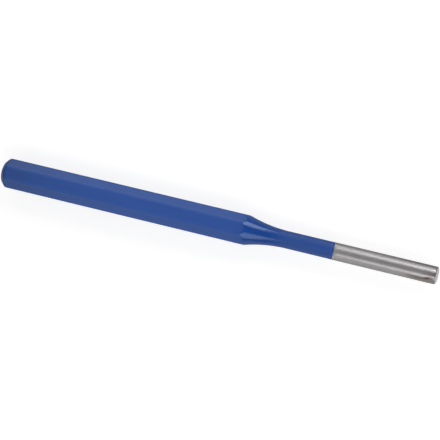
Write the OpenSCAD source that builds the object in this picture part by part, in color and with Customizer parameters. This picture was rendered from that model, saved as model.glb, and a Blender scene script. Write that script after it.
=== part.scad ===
// Pin punch: an octagonal steel bar with a turned waist, a slim neck and a ground working pin,
// lacquered from the struck end up to the end of the neck.
// It lies along X on one of its flats, working tip towards +X, with Z up and Z zero under the flat.

/* [Bar] */
// Length of the finished punch, from the lacquered struck face to the working tip
overall_l = 153.4; // [130:0.1:200]
// Width of the steel bar across two opposite flats
bar_af = 10; // [9:0.1:14]
// Radius of the bar's eight rounded corners
corner_r = 1.2; // [0.2:0.1:2.4]

/* [Struck end] */
// Leg of the 45 degree chamfer turned round the struck face, measured at the flats
head_chamfer = 1.5; // [0.4:0.1:3]

/* [Waist and neck] */
// Radius of the hollow curve that runs from the flats down to the neck
waist_r = 47.7; // [30:0.1:60]
// Diameter of the turned neck under the lacquer
neck_d = 5.74; // [4:0.01:6.4]
// Length of the straight neck, from the foot of the hollow curve to the ground pin
neck_l = 15.9; // [8:0.1:24]

/* [Ground pin] */
// Diameter of the ground working pin, a tenth under the pin that it drives
pin_d = 5.9; // [4:0.05:6.9]
// Length of the bare ground pin, its tip chamfer included
pin_l = 35.3; // [20:0.1:45]
// Leg of the 45 degree chamfer round the working tip
tip_chamfer = 0.4; // [0.1:0.05:0.8]

/* [Lacquer] */
// Thickness of the lacquer film
film_t = 0.06; // [0.03:0.01:0.15]

/* [Hidden] */

// Fineness of the drawn circles, and of the large circle that hollows the waist
$fn = 96;
waist_fn = 360;

// Number of narrow flats that round each corner of the bar
corner_steps = 6;

// The octagonal bar
flats = 8;
flat_turn = 360 / flats;
half_turn = flat_turn / 2;

// How much a 45 degree chamfer's leg grows for each unit that all three faces move outwards
chamfer_share = 2 - sqrt(2);

// Places along the axis, with zero at the middle of the finished punch
tip_x = overall_l / 2;
head_x = film_t - overall_l / 2;
pin_x = tip_x - pin_l;
neck_x = pin_x - neck_l;

// Height of the axis when the punch lies on a lacquered flat
axis_z = bar_af / 2 + film_t;

// Radius of the round blank that the bar is cut from: clear of the corners, so it never shows
blank_r = bar_af;

// Blue of the lacquer and grey of the ground steel
lacquer_blue = [0.20, 0.31, 0.56];
ground_steel = [0.66, 0.65, 0.65];

// Points of the rounded corner that follows a given flat, from that flat's end to the next flat's start
function corner_points(flat, corner_at, round_r) = [
    for (i = [0:corner_steps])
        let (
            middle = (flat + 0.5) * flat_turn,
            turn = flat * flat_turn + i * flat_turn / corner_steps
        )
        [
            corner_at * cos(middle) + round_r * cos(turn),
            corner_at * sin(middle) + round_r * sin(turn)
        ]
];

// Cross-section of the bar, grown outwards by a film: an octagon with rounded corners
module bar_section(grow) {
    round_r = corner_r + grow;
    corner_at = (bar_af / 2 - corner_r) / cos(half_turn);
    polygon([for (i = [0:flats - 1]) each corner_points(i, corner_at, round_r)]);
}

// Half outline of what the lathe leaves, with the radius along X and the axis along Y.
// It is closed by the points from the end of the neck back to the axis.
module turned_outline(grow, end_points) {
    neck_r = neck_d / 2 + grow;
    face_x = head_x - grow;
    face_r = bar_af / 2 + grow - head_chamfer - chamfer_share * grow;
    difference() {
        polygon(concat(
            [
                [0, face_x],
                [face_r, face_x],
                [blank_r, face_x + blank_r - face_r],
                [blank_r, neck_x],
                [neck_r, neck_x],
                [neck_r, pin_x]
            ],
            end_points
        ));
        intersection() {
            translate([neck_r + waist_r - grow, neck_x])
                circle(r = waist_r - grow, $fn = waist_fn);
            translate([0, neck_x - waist_r])
                square([blank_r + waist_r, waist_r]);
        }
    }
}

// The bar's section along the whole length, cut down to what the lathe leaves, as one solid
module turned_bar(grow, end_points) {
    start_x = head_x - grow;
    translate([0, 0, axis_z])
        rotate([90, 0, 90])
            intersection() {
                translate([0, 0, start_x])
                    linear_extrude(tip_x - start_x)
                        bar_section(grow);
                rotate_extrude()
                    turned_outline(grow, end_points);
            }
}

// The one forged, turned and ground piece of steel
module steel_punch() {
    pin_r = pin_d / 2;
    color(ground_steel)
        turned_bar(0, [
            [pin_r, pin_x],
            [pin_r, tip_x - tip_chamfer],
            [pin_r - tip_chamfer, tip_x],
            [0, tip_x]
        ]);
}

// The film of lacquer: closed over the struck end, open where the bare pin leaves it
module lacquer_coat() {
    neck_end = [[0, pin_x]];
    color(lacquer_blue)
        difference() {
            turned_bar(film_t, neck_end);
            turned_bar(0, neck_end);
        }
}

steel_punch();
lacquer_coat();
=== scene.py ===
# %% [markdown]
# # A pin punch on a white table
# The tool is one length of octagonal steel bar. A lathe hollowed its waist and turned its slim neck, a
# grinder finished the working pin, and everything behind the pin was dipped in blue lacquer.
# Two pieces are made here, the steel and its coat, each from an outline that is spun like work on a lathe.

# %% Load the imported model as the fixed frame
import math
import bmesh
import bpy
from mathutils import Matrix, Vector


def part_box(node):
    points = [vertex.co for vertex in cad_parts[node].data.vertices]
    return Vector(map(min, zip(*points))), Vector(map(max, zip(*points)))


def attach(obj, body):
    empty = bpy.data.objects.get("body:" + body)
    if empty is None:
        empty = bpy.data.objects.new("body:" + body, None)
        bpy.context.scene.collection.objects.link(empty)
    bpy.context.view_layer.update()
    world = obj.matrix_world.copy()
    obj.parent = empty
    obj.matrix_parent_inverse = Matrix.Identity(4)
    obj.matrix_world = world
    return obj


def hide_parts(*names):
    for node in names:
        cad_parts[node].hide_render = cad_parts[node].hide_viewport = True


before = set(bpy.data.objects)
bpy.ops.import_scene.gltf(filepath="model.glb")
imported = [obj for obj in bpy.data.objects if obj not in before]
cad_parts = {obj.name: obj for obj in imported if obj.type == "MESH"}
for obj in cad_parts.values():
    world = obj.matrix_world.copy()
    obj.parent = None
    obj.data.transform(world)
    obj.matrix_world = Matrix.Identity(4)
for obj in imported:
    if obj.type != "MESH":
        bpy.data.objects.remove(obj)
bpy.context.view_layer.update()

# %% [markdown]
# ## The sizes of the tool
# Blender works in metres here, and a hand tool is thought of in millimetres, so one factor turns one into
# the other. The sizes could be read off the frame's meshes, but a maker's drawing is easier to follow: it
# gives a few lengths and widths, and every place along the tool follows from them.

# %% Sizes, in metres
MM = 0.001
overall = 153.4 * MM
bare_pin = 35.3 * MM
neck = 15.9 * MM
film = 0.06 * MM
bar_half = 5 * MM
corner_round = 1.2 * MM
struck_chamfer = 1.5 * MM
waist_round = 47.7 * MM
neck_r = 2.87 * MM
pin_r = 2.95 * MM
tip_chamfer = 0.4 * MM
axis_z = bar_half + film
tip_x = overall / 2
struck_x = film - overall / 2
pin_x = tip_x - bare_pin
waist_foot_x = pin_x - neck
low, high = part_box("steel_punch")
print("steel", round((tip_x - struck_x) / MM, 2), "mm long, in the frame", round((high.x - low.x) / MM, 2))

# %% [markdown]
# ## The camera
# The photograph looks down on the tool as it lies on a table, a little from the tip's side, with a long
# lens. The camera could be moved by hand until it looks right. Here its place is worked out from three
# directions: along the tool in the picture, across it, and back from the tool to the lens. Two small shifts
# then put the tool where it lies in the picture.

# %% Camera
toward_tip = math.radians(14.5)
lean = math.radians(13.48)
focal_length = 169.78
distance = 693 * MM
aim_along = 1.42 * MM
aim_across = 1.20 * MM
back = Vector((math.sin(toward_tip), 0, math.cos(toward_tip)))
along = Vector((math.cos(toward_tip), 0, -math.sin(toward_tip)))
across = back.cross(along)
right = along * math.cos(lean) + across * math.sin(lean)
up = across * math.cos(lean) - along * math.sin(lean)
lens = bpy.data.cameras.new("camera")
lens.sensor_width = 36
lens.lens = focal_length
lens.clip_start = 0.01
lens.clip_end = 20
camera = bpy.data.objects.new("camera", lens)
bpy.context.scene.collection.objects.link(camera)
middle = Vector((0, 0, axis_z))
eye = middle + aim_along * along + aim_across * across + distance * back
camera.matrix_world = Matrix.Translation(eye) @ Matrix((right, up, back)).transposed().to_4x4()
bpy.context.scene.camera = camera
bpy.context.scene.view_settings.view_transform = "Standard"
print("camera at", [round(c, 3) for c in eye], "across", [round(c, 3) for c in across])

# %% [markdown]
# ## Drawing the outline
# Half of the tool's outline is a chain of vertices and edges above the axis. It could be typed as a long
# list of points, but extruding a vertex makes each straight stretch, and spinning one sweeps the hollow of
# the waist, so the line comes from the sizes alone and the counts of cuts say how smooth it is.

# %% Helpers for the outline
def straight(bm, start, x, radius, cuts=0):
    """Extrudes a vertex to a place on the outline, in equal steps, and returns the end."""
    origin, goal = start.co.copy(), Vector((x, 0, axis_z + radius))
    for cut in range(cuts + 1):
        start = bmesh.ops.extrude_vert_indiv(bm, verts=[start])["verts"][0]
        start.co = origin.lerp(goal, (cut + 1) / (cuts + 1))
    return start


def hollow(bm, start, centre_x, centre_r, angle, steps):
    """Sweeps an arc from a vertex about a centre outside the tool, and returns its end."""
    made = bmesh.ops.spin(bm, geom=[start], cent=(centre_x, 0, axis_z + centre_r), axis=(0, 1, 0),
                          dvec=(0, 0, 0), angle=angle, steps=steps, use_merge=False)
    return next(part for part in made["geom_last"] if isinstance(part, bmesh.types.BMVert))


# %% [markdown]
# ## Where the lathe's cuts meet the flats
# Turning a chamfer or a waist on an octagonal bar leaves scallops, because the corners stand further out
# than the flats and the cut runs further along them. A Boolean could cut them, but it leaves slivers.
# Here every ring of the spun blank is drawn out to the octagon, and slid along to where the cut meets it.

# %% The bar's true outline
flats = 8
flat_turn = math.tau / flats
steps_on_flat = 7
steps_on_corner = 8
steps_round = 2 * flats * (steps_on_flat + steps_on_corner)


def corner_shape(grow):
    """Half the flat's straight width, and the rounded corner's distance in from the flat, for a grown bar."""
    inset = bar_half - corner_round
    return inset * math.tan(flat_turn / 2), corner_round + grow


def spread(angle, grow):
    """Moves the even steps of a spin so that each flat has few and each rounded corner has many."""
    reach, rounding = corner_shape(grow)
    flat = round(angle / flat_turn) * flat_turn
    side = math.copysign(1, angle - flat)
    step = abs(angle - flat) / (flat_turn / 2) * (steps_on_flat + steps_on_corner)
    edge = math.atan2(reach, bar_half + grow)
    if step <= steps_on_flat:
        return flat + side * edge * step / steps_on_flat
    swing = flat_turn / 2 * (step - steps_on_flat) / steps_on_corner
    across_flat = reach + rounding * math.sin(swing)
    above = bar_half + grow - rounding * (1 - math.cos(swing))
    return flat + side * math.atan2(across_flat, above)


def octagon(angle, grow):
    """The bar's own radius in a direction, with its corners rounded."""
    reach, rounding = corner_shape(grow)
    half = bar_half + grow
    off = abs(angle - round(angle / flat_turn) * flat_turn)
    if math.tan(off) * half <= reach:
        return half / math.cos(off)
    corner = (bar_half - corner_round) / math.cos(flat_turn / 2)
    swing = flat_turn / 2 - off
    return corner * math.cos(swing) + math.sqrt(rounding ** 2 - (corner * math.sin(swing)) ** 2)


print("corner radius", round(octagon(flat_turn / 2, film) / MM, 3), "mm,", steps_round, "steps round")

# %% [markdown]
# ## Drawing the corners out
# The lathe line is drawn for the flats, so the spun blank is as thick as the bar is over its flats. Each
# vertex then moves out to the octagon. Along the axis, the chamfer ends and the waist starts wherever the
# cut reaches that radius, and the rings between are shared out evenly.

# %% Helpers for the lathe's cuts
def face_radius(grow):
    """The radius of the flat struck face, inside its chamfer."""
    return bar_half + grow - struck_chamfer - (2 - math.sqrt(2)) * grow


def cut_radius(x, grow):
    """The radius that the lathe's hollow leaves at a place along the waist."""
    arc = waist_round - grow
    return neck_r + waist_round - math.sqrt(arc ** 2 - min(waist_foot_x - x, arc) ** 2)


def cut_start(radius, grow):
    """Where along the bar the hollow reaches a radius."""
    arc = waist_round - grow
    return waist_foot_x - math.sqrt(arc ** 2 - (neck_r + waist_round - radius) ** 2)


print("the waist starts at", round(cut_start(bar_half + film, film) / MM, 2), "mm on the flats")

# %% [markdown]
# ## The lacquer's askew end
# The tool hung a little askew when it was dipped, so the line where the lacquer ends leans over. The whole
# coat could be tilted, but then its neck would leave the steel. Each ring near the line is slid along by an
# amount that swings once round the tool instead, on the coat and on the steel alike.

# %% Helper for the askew line
dip_shift = -0.05 * MM
dip_swing = 0.65 * MM
dip_reach = 12 * MM


def dip_line(x, angle):
    """How far the rings near the lacquer's end are slid along the tool."""
    amount = dip_shift + dip_swing * math.cos(angle - 2 * flat_turn)
    if x <= pin_x:
        share = max(0, (x - waist_foot_x) / (pin_x - waist_foot_x))
    else:
        share = max(0, 1 - (x - pin_x) / dip_reach)
    return amount * share ** 2


print("the lacquer's end leans by", round(2 * dip_swing / MM, 2), "mm")

# %% [markdown]
# ## Reshaping the spun blank
# One pass over the vertices does it all: it evens out the steps round the bar, moves each vertex out to the
# octagon, and slides it to where the cut meets the flat. The sharp rings are found again by their place, so
# that a bevel can soften them.

# %% Helpers for the blank
on_axis = 1e-7
same_place = 1e-6


def draw_out(bm, grow):
    """Moves each vertex of a spun blank out to the octagonal bar, the scallops and the lacquer's end."""
    face_x = struck_x - grow
    face_r = face_radius(grow)
    flat_r = bar_half + grow
    for vert in bm.verts:
        x = vert.co.x
        radius = math.hypot(vert.co.y, vert.co.z - axis_z)
        if radius < on_axis:
            continue
        angle = spread(math.atan2(vert.co.z - axis_z, vert.co.y), grow)
        bar_r = octagon(angle, grow)
        chamfer_end, hollow_start = face_x + bar_r - face_r, cut_start(bar_r, grow)
        flat_end, flat_start = face_x + flat_r - face_r, cut_start(flat_r, grow)
        if face_x < x < flat_end:
            share = (x - face_x) / (flat_end - face_x)
            x = face_x + share * (chamfer_end - face_x)
            radius = face_r + x - face_x
        elif flat_end <= x <= flat_start:
            share = (x - flat_end) / (flat_start - flat_end)
            x = chamfer_end + share * (hollow_start - chamfer_end)
            radius = bar_r
        elif flat_start < x < waist_foot_x:
            share = (x - flat_start) / (waist_foot_x - flat_start)
            x = hollow_start + share * (waist_foot_x - hollow_start)
            radius = cut_radius(x, grow)
        elif x >= waist_foot_x:
            x += dip_line(x, angle)
        vert.co = Vector((x, radius * math.cos(angle), axis_z + radius * math.sin(angle)))


def ring(bm, x, radius):
    """The edges of the spun blank that run round it at one place of the outline."""
    def there(vert):
        reach = math.hypot(vert.co.y, vert.co.z - axis_z)
        return abs(vert.co.x - x) < same_place and abs(reach - radius) < same_place
    return [edge for edge in bm.edges if all(there(vert) for vert in edge.verts)]


def soften(bm, edges, width, segments=3):
    """Rounds edges that the grinder or the lacquer left soft."""
    bmesh.ops.bevel(bm, geom=edges, offset=width, offset_type="OFFSET", segments=segments, profile=0.5,
                    affect="EDGES", clamp_overlap=True, material=-1)


def piece_from(bm, name):
    """Makes an object of a finished bmesh, shaded smooth but with its flats kept flat."""
    mesh = bpy.data.meshes.new(name)
    bm.to_mesh(mesh)
    bm.free()
    for polygon in mesh.polygons:
        polygon.use_smooth = True
    piece = bpy.data.objects.new(name, mesh)
    bpy.context.scene.collection.objects.link(piece)
    even = piece.modifiers.new("flat faces stay flat", "WEIGHTED_NORMAL")
    even.keep_sharp = True
    print(name, len(mesh.vertices), "vertices,", len(mesh.polygons), "faces")
    return piece


# %% [markdown]
# ## The blank
# Both pieces start alike: the outline from the struck face to the foot of the waist, in steel or grown by
# the thickness of the film. One helper draws it, so that the coat fits the steel all over.

# %% Helpers for the shared outline
face_cuts = 5
chamfer_cuts = 2
shank_cuts = 29
waist_steps = 40
neck_cuts = 11


def start_outline(bm, grow):
    """Draws the outline from the middle of the struck face to the foot of the waist."""
    face_x = struck_x - grow
    flat_r = bar_half + grow
    face_r = face_radius(grow)
    start_x = cut_start(flat_r, grow)
    arc = waist_round - grow
    here = bm.verts.new((face_x, 0, axis_z))
    here = straight(bm, here, face_x, face_r, cuts=face_cuts)
    here = straight(bm, here, face_x + flat_r - face_r, flat_r, cuts=chamfer_cuts)
    here = straight(bm, here, start_x, flat_r, cuts=shank_cuts)
    sweep = math.asin((waist_foot_x - start_x) / arc)
    here = hollow(bm, here, waist_foot_x, neck_r + waist_round, -sweep, waist_steps)
    return here, [(face_x, face_r), (face_x + flat_r - face_r, flat_r), (start_x, flat_r)]


def spin_round(bm):
    """Spins the outline once round the tool's axis, and closes the seam and the poles."""
    bmesh.ops.spin(bm, geom=bm.verts[:] + bm.edges[:], cent=(0, 0, axis_z), axis=(1, 0, 0),
                   dvec=(0, 0, 0), angle=math.tau, steps=steps_round, use_merge=True)
    bmesh.ops.remove_doubles(bm, verts=bm.verts[:], dist=on_axis)
    bmesh.ops.recalc_face_normals(bm, faces=bm.faces[:])


# %% [markdown]
# ## The coat of lacquer
# The film is 0.06 mm thick and closed over the struck end. It ends in a fine bead round the pin, where the
# wet lacquer drew back. It could be a colour on the steel, but a shell of its own has that bead, rounds the
# edges a little more than the steel under it, and can be swapped. The bead is drawn as steps along the tool
# and out from it, both in millimetres, and Solidify gives the shell its thickness.

# %% Make the coat
coat_rounding = (0.5, 0.5, 0.3)
bead = [(-1.2, 0), (-0.8, 0.012), (-0.5, 0.03), (-0.3, 0.042), (-0.12, 0.04), (-0.03, 0.025), (0, 0)]
bm = bmesh.new()
end, corners = start_outline(bm, film)
end = straight(bm, end, pin_x + bead[0][0] * MM, neck_r + film, cuts=neck_cuts)
for from_end, proud in bead[1:]:
    end = straight(bm, end, pin_x + from_end * MM, neck_r + film + proud * MM)
spin_round(bm)
rims = [ring(bm, x, radius) for x, radius in corners]
draw_out(bm, film)
for edges, width in zip(rims, coat_rounding):
    soften(bm, edges, width * MM)
coat = piece_from(bm, "lacquer_skin")
shell = coat.modifiers.new("film", "SOLIDIFY")
shell.thickness = film
shell.offset = -1
coat.modifiers.move(1, 0)
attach(coat, "root")
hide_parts("lacquer_coat")

# %% [markdown]
# ## The steel
# The steel goes on under the lacquer to the struck end, as the real bar does, so nothing is hollow. Only
# the working pin shows. The grinding wheel ran out where the pin starts, which leaves a fine slope, and the
# tip has a small chamfer so that it doesn't mark the hole. The corners under the lacquer are softened by
# nearly as much as the lacquer's own, or they would poke through it.

# %% Make the steel
steel_rounding = (0.45, 0.45, 0.25, 0.06, 0.06)
wheel_run_out = 0.2 * MM
pin_cuts = 29
bm = bmesh.new()
end, corners = start_outline(bm, 0)
end = straight(bm, end, pin_x, neck_r, cuts=neck_cuts)
end = straight(bm, end, pin_x + wheel_run_out, pin_r)
end = straight(bm, end, tip_x - tip_chamfer, pin_r, cuts=pin_cuts)
end = straight(bm, end, tip_x, pin_r - tip_chamfer)
straight(bm, end, tip_x, 0, cuts=face_cuts)
spin_round(bm)
rims = [ring(bm, x, radius) for x, radius in corners]
rims += [ring(bm, tip_x - tip_chamfer, pin_r), ring(bm, tip_x, pin_r - tip_chamfer)]
draw_out(bm, 0)
for edges, width in zip(rims, steel_rounding):
    soften(bm, edges, width * MM)
steel = piece_from(bm, "steel_body")
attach(steel, "root")
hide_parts("steel_punch")

# %% [markdown]
# ## Writing finishes as sums
# A finish is a tree of nodes. Long trees are hard to read as calls, so numbers on wires are written as
# sums in Python: one small class wraps a socket, and each operator adds a Math node. Every other node
# comes from one method, which sets its settings first and then its sockets.

# %% Helpers for finishes
class Wire:
    """A number that changes over the surface."""

    def __init__(self, finish, socket):
        self.finish = finish
        self.socket = socket

    def worked(self, operation, *values):
        slots = dict(enumerate(values))
        return Wire(self.finish, self.finish.node("Math", {"operation": operation}, slots).outputs[0])

    def __add__(self, other):
        return self.worked("ADD", self, other)

    def __sub__(self, other):
        return self.worked("SUBTRACT", self, other)

    def __rsub__(self, other):
        return self.worked("SUBTRACT", other, self)

    def __mul__(self, other):
        return self.worked("MULTIPLY", self, other)

    def __pow__(self, other):
        return self.worked("POWER", self, other)

    def __abs__(self):
        return self.worked("ABSOLUTE", self)

    def clipped(self, low, high):
        """0 below low, 1 above high, and a smooth step between."""
        made = self.finish.node("MapRange", {"interpolation_type": "SMOOTHSTEP"},
                                {"Value": self, "From Min": low, "From Max": high})
        return Wire(self.finish, made.outputs[0])

    __radd__ = __add__
    __rmul__ = __mul__


class Finish:
    """A node tree for a material or the world, with one method that makes any node."""

    def __init__(self, tree):
        self.tree = tree
        tree.nodes.clear()

    def node(self, kind, settings=None, sockets=None):
        made = self.tree.nodes.new("ShaderNode" + kind)
        for key, value in (settings or {}).items():
            setattr(made, key, value)
        for key, value in (sockets or {}).items():
            self.plug(value, made.inputs[key])
        return made

    def plug(self, value, slot):
        if isinstance(value, Wire):
            value = value.socket
        if isinstance(value, bpy.types.NodeSocket):
            self.tree.links.new(value, slot)
        else:
            slot.default_value = value

    def wire(self, socket):
        return Wire(self, socket)

    def noise(self, place, scale, detail=2.0, roughness=0.5):
        """Smooth random cloud, from 0 to 1, with its size set by scale."""
        made = self.node("TexNoise", {}, {"Vector": place, "Scale": scale, "Detail": detail,
                                          "Roughness": roughness})
        return Wire(self, made.outputs["Fac"])

    def stretched(self, place, scale):
        """The place on the piece, squeezed or stretched, with the middle of the tool at zero."""
        made = self.node("Mapping", {"vector_type": "POINT"},
                         {"Vector": place, "Location": (0, 0, -axis_z * scale[2]), "Scale": scale})
        return made.outputs[0]

    def places(self):
        """The piece's x, y and z as wires, then its place, and its place centred on the tool's axis."""
        place = self.node("TexCoord").outputs["Object"]
        centred = self.stretched(place, (1, 1, 1))
        split = self.node("SeparateXYZ", {}, {0: centred})
        return *(self.wire(output) for output in split.outputs), place, centred

    def blend(self, share, first, second):
        """One colour turning into another as share goes from 0 to 1."""
        # A Mix node takes its colours at inputs 6 and 7, and gives the blend at output 2
        return self.node("Mix", {"data_type": "RGBA"}, {0: share, 6: first, 7: second}).outputs[2]


def finish_for(name):
    """An empty material, ready for its nodes."""
    material = bpy.data.materials.new(name)
    material.use_nodes = True
    return material, Finish(material.node_tree)


# %% [markdown]
# ## Blue lacquer
# The coat is a hard gloss over steel: one deep blue, a little paler over the bar's rounded corners, and
# darker towards the struck end and from the waist on, which is painted shade for light that falls off there,
# with a faint orange-peel ripple from drying. A plain blue would look like plastic, so the tone, the
# roughness and the ripple each have their own noise.

# %% Lacquer finish
lacquer, f = finish_for("blue_lacquer")
deep_blue = (0.0176, 0.084, 0.388, 1)
fair_blue = (0.0190, 0.089, 0.408, 1)
painted_shade_blue = (0.0135, 0.0648, 0.300, 1)
corner_blue = (0.028, 0.110, 0.440, 1)
cool_gloss = (0.70, 0.84, 1.0, 1)
x, y, z, place, centred = f.places()
from_axis = (y * y + z * z) ** 0.5
# A little paler over the bar's rounded corners.
paler_corners = from_axis.clipped(5.16 * MM, 5.4 * MM)
# Painted shade: these masks darken the blue towards the struck end, most at its rim, and from the waist on.
shade_toward_struck_end = 1 - x.clipped(struck_x, struck_x + 36 * MM)
shade_at_struck_end = 1 - x.clipped(struck_x, struck_x + 14 * MM)
shade_from_waist = x.clipped(4 * MM, 18 * MM)
painted_shade = shade_toward_struck_end * 0.9 + shade_at_struck_end * 0.45 + shade_from_waist * 0.6
cloud = f.noise(f.stretched(place, (0.4, 1, 1)), 220, 3)
tone = f.blend(cloud.clipped(0.3, 0.7), deep_blue, fair_blue)
tone = f.blend(painted_shade, tone, painted_shade_blue)
tone = f.blend(paler_corners * 0.35, tone, corner_blue)
specks = f.noise(centred, 2600, 2)
ripple = f.noise(centred, 700, 2) + specks * 0.15
ripple_bump = f.node("Bump", {}, {"Height": ripple, "Strength": 0.12, "Distance": 0.02 * MM})
gloss = 0.17 + cloud * 0.05 + specks * 0.03
surface = f.node("BsdfPrincipled", {}, {"Base Color": tone, "Roughness": gloss, "IOR": 1.6,
                                         "Specular Tint": cool_gloss, "Normal": ripple_bump.outputs[0]})
f.node("OutputMaterial", {}, {"Surface": surface.outputs[0]})
coat.data.materials.append(lacquer)
print("lacquer nodes", len(f.tree.nodes))

# %% [markdown]
# ## Ground steel
# A pin ground between wheels carries hair-fine rings round it, so it mirrors its surroundings sharply
# across and smears them along. The rings could be lines in a picture. Here they are noise that changes fast
# along the tool and slowly round it, so that they never repeat, and one of them also bends the surface.

# %% Rings on the pin
grey_steel = (0.45, 0.43, 0.435, 1)
pale_steel = (0.575, 0.55, 0.557, 1)
ground, f = finish_for("ground_steel")
x, y, z, place, centred = f.places()
fine_rings = f.noise(f.stretched(place, (30, 0.15, 0.15)), 400, 3, 0.6)
broad_rings = f.noise(f.stretched(place, (6, 0.3, 0.3)), 300, 2)
tone = f.blend(broad_rings, grey_steel, pale_steel)
rings = f.node("Bump", {}, {"Height": fine_rings, "Strength": 0.6, "Distance": 0.04 * MM})
print("ring nodes", len(f.tree.nodes))

# %% [markdown]
# ## Stain, painted shade and a dark patch near the tip
# The bare steel has a small cloud of stain towards the tip. Along the back of the pin near the tip it is
# darkened as painted shade, for the dark surroundings it mirrors there, and along the front it has a darker,
# browner patch. Patches like these could be painted by hand. Here each patch is a mask of how far it lies
# from the tip and how far round the pin. The side patches end halfway down, because what the underside looks
# like isn't known.

# %% Stain, painted shade and a dark patch
stain_grey = (0.36, 0.33, 0.31, 1)
painted_shade_grey = (0.20, 0.195, 0.19, 1)
front_patch_grey = (0.24, 0.20, 0.18, 1)
from_tip = tip_x - x
front = y * (-1 / pin_r)
on_top = z.clipped(-0.4 * MM, 0.4 * MM)
stain_cloud = f.noise(centred, 500, 3)
near_tip = x.clipped(tip_x - 16 * MM, tip_x - 1 * MM)
# Painted shade: the back of the pin is darkened near the tip, for the dark surroundings it mirrors there.
painted_shade_back = (1 - front.clipped(-0.92, -0.7)) * (1 - from_tip.clipped(4 * MM, 24 * MM)) * on_top
# A darker, browner patch along the front of the pin near the tip.
dark_front_patch = front.clipped(0.45, 0.65) * (1 - from_tip.clipped(6 * MM, 11 * MM)) * on_top
tone = f.blend(near_tip * stain_cloud.clipped(0.3, 0.75) * 0.25, tone, stain_grey)
tone = f.blend(painted_shade_back * 0.6, tone, painted_shade_grey)
tone = f.blend(dark_front_patch * 0.45, tone, front_patch_grey)
print("nodes with the dull patches", len(f.tree.nodes))

# %% [markdown]
# ## The streak, the scorch and the end face
# A brown streak runs a little askew towards the tip, with a dark core, and beside it the steel is tinted
# purple by heat. Brush strokes on a picture would do, but a smear here is only a line on the pin, made ragged
# by the same cloud as the stain. The end face was cut last, so it is the least polished, and its steel is the
# palest: partly the fresh cut, and partly a painted reflection that makes it mirror more brightly than steel
# does.

# %% Marks at the tip, and the steel's shader
streak_brown = (0.15, 0.11, 0.095, 1)
scorch_purple = (0.36, 0.22, 0.26, 1)
faced_steel_and_sheen = (0.92, 0.90, 0.90, 1)


def smear(line, wide, ragged):
    """How strongly a smear shows beside its line: full on it, and ragged where it thins out."""
    off = abs(front - line) + (stain_cloud - 0.5) * ragged
    return (1 - off.clipped(wide * 0.3, wide)) * on_top


streak_line = 0.45 + from_tip.clipped(1 * MM, 5 * MM) * 0.18
core = 1 - abs(from_tip - 2.8 * MM).clipped(0.3 * MM, 1.0 * MM)
fading = (1 - from_tip.clipped(3.6 * MM, 5 * MM) * 0.35) * (1 - from_tip.clipped(7 * MM, 12 * MM))
streak = smear(streak_line, 0.17, 0.2) * from_tip.clipped(0.2 * MM, 0.9 * MM) * fading * (0.8 + core * 0.35)
scorch = smear(0.0, 0.3, 0.2) * (1 - from_tip.clipped(1 * MM, 5 * MM))
faced = x.clipped(tip_x - 0.2 * MM, tip_x - 0.05 * MM)
tone = f.blend(streak * 0.9, tone, streak_brown)
tone = f.blend(scorch * 0.35, tone, scorch_purple)
# Partly painted reflection: the end face's steel is paler than steel is, so that it mirrors more light.
tone = f.blend(faced, tone, faced_steel_and_sheen)
matt = 0.26 + fine_rings * 0.08 + stain_cloud * 0.04 + streak * 0.1 + faced * 0.25
surface = f.node("BsdfPrincipled", {}, {"Base Color": tone, "Metallic": 1.0, "Roughness": matt,
                                         "Normal": rings.outputs[0]})
f.node("OutputMaterial", {}, {"Surface": surface.outputs[0]})
steel.data.materials.append(ground)
print("steel nodes", len(f.tree.nodes))

# %% [markdown]
# ## The table
# The tool lies on a white table that runs out of the picture. More light would make it white, and would
# bleach the tool as well. So its paint is a mid grey that takes the tool's soft shadow, and it shines a
# little of its own accord: for the camera up to white, and faintly for what the steel and the gloss mirror,
# more in front of the tool than behind it.

# %% Table
table_half = 3
bm = bmesh.new()
bmesh.ops.create_grid(bm, x_segments=2, y_segments=2, size=table_half)
mesh = bpy.data.meshes.new("table_top")
bm.to_mesh(mesh)
bm.free()
table = bpy.data.objects.new("table_top", mesh)
bpy.context.scene.collection.objects.link(table)
print("table", 2 * table_half, "m square")

# %% [markdown]
# ## The table's paint
# Paint and glow are two shaders added together. The Light Path node tells what kind of ray is asking, so the
# glow can be strong for the camera, weak for mirrored rays and nothing for the light that falls on the tool.

# %% Table finish
grey_paint = (0.44, 0.44, 0.44, 1)
pale_paint = (0.46, 0.46, 0.46, 1)
white_light = (1, 1, 1, 1)
white, f = finish_for("white_table")
place = f.node("TexCoord").outputs["Object"]
split = f.node("SeparateXYZ", {}, {0: place})
behind = f.wire(split.outputs[1]).clipped(-10 * MM, 10 * MM)
mottle = f.noise(place, 40, 2)
paint = f.blend(mottle, grey_paint, pale_paint)
matt_white = f.node("BsdfDiffuse", {}, {"Color": paint})
rays = f.node("LightPath")
kinds = ("Is Camera Ray", "Is Glossy Ray", "Is Transmission Ray")
seen, mirrored, through = (f.wire(rays.outputs[kind]) for kind in kinds)
shine = seen * 0.75 + (mirrored + through) * (0.2 - behind * 0.15)
glow = f.node("Emission", {}, {"Color": white_light, "Strength": shine})
both = f.node("AddShader", {}, {0: matt_white.outputs[0], 1: glow.outputs[0]})
f.node("OutputMaterial", {}, {"Surface": both.outputs[0]})
table.data.materials.append(white)
print("table nodes", len(f.tree.nodes))

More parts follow.
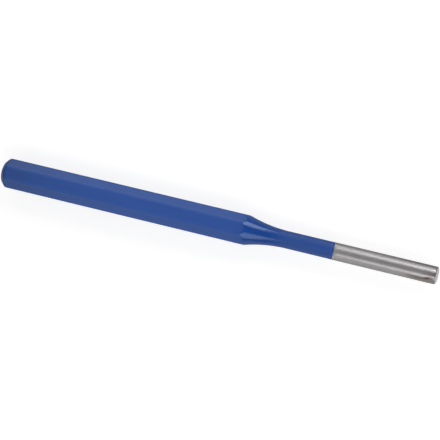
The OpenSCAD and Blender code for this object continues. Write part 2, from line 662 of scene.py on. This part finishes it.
# %% [markdown]
# ## The room
# Gloss and ground steel mirror whatever stands round them, and lamps alone would leave them black between
# the bands of light. A room could be built from walls. Here the sky of the world does it: pale low down by
# the struck end, more so behind the tool than in front, and nearly black overhead and beyond the tip.

# %% The room
world = bpy.data.worlds.new("room")
bpy.context.scene.world = world
world.use_nodes = True
f = Finish(world.node_tree)
toward = f.node("TexCoord").outputs["Generated"]
split = f.node("SeparateXYZ", {}, {0: toward})
x, y, z = (f.wire(split.outputs[i]) for i in range(3))
struck_side = 1 - x.clipped(-0.24, -0.02)
not_far_off = 0.25 + x.clipped(-0.8, -0.35) * 0.75
low_down = 1 - z.clipped(0.05, 0.35)
behind = y.clipped(-0.15, 0.15)
level = 0.02 + struck_side * not_far_off * (0.62 + low_down * (0.5 + behind * 0.65))
sky = f.node("Background", {}, {"Color": white_light, "Strength": level})
f.node("OutputWorld", {}, {"Surface": sky.outputs[0]})
print("room nodes", len(f.tree.nodes))

# %% [markdown]
# ## The lamps
# Two large flat lamps hang level over the table, both towards the tip: one behind the tool and one in
# front, with a dark gap between them where the camera looks through. Each shows as one bright band on the
# pin and one on the waist. Their ends are square to the picture, not to the tool. A weak third lamp is the
# spill beside the back one, which draws a thin line along the neck.

# %% Lamps
def panel(name, to_right, to_back, height, long, wide, level):
    """A flat lamp that hangs level over the table, in metres, to the picture's right and to its back."""
    lamp = bpy.data.lights.new(name, "AREA")
    lamp.shape = "RECTANGLE"
    lamp.size, lamp.size_y = long, wide
    lamp.energy = level * math.pi * long * wide
    holder = bpy.data.objects.new(name, lamp)
    bpy.context.scene.collection.objects.link(holder)
    turned = Matrix.Rotation(lean, 4, "Z")
    hung = Matrix.Translation((to_right, to_back, height))
    holder.matrix_world = Matrix.Translation(middle) @ turned @ hung
    print(name, "shines", round(lamp.energy, 2), "W")


panel("upper_panel", to_right=0.88, to_back=0.90, height=0.6, long=1.36, wide=1.04, level=3.45)
panel("upper_spill", to_right=-0.10, to_back=0.80, height=0.6, long=0.60, wide=0.36, level=0.4)
panel("lower_panel", to_right=0.70, to_back=-1.0, height=0.6, long=1.71, wide=1.37, level=2.0)
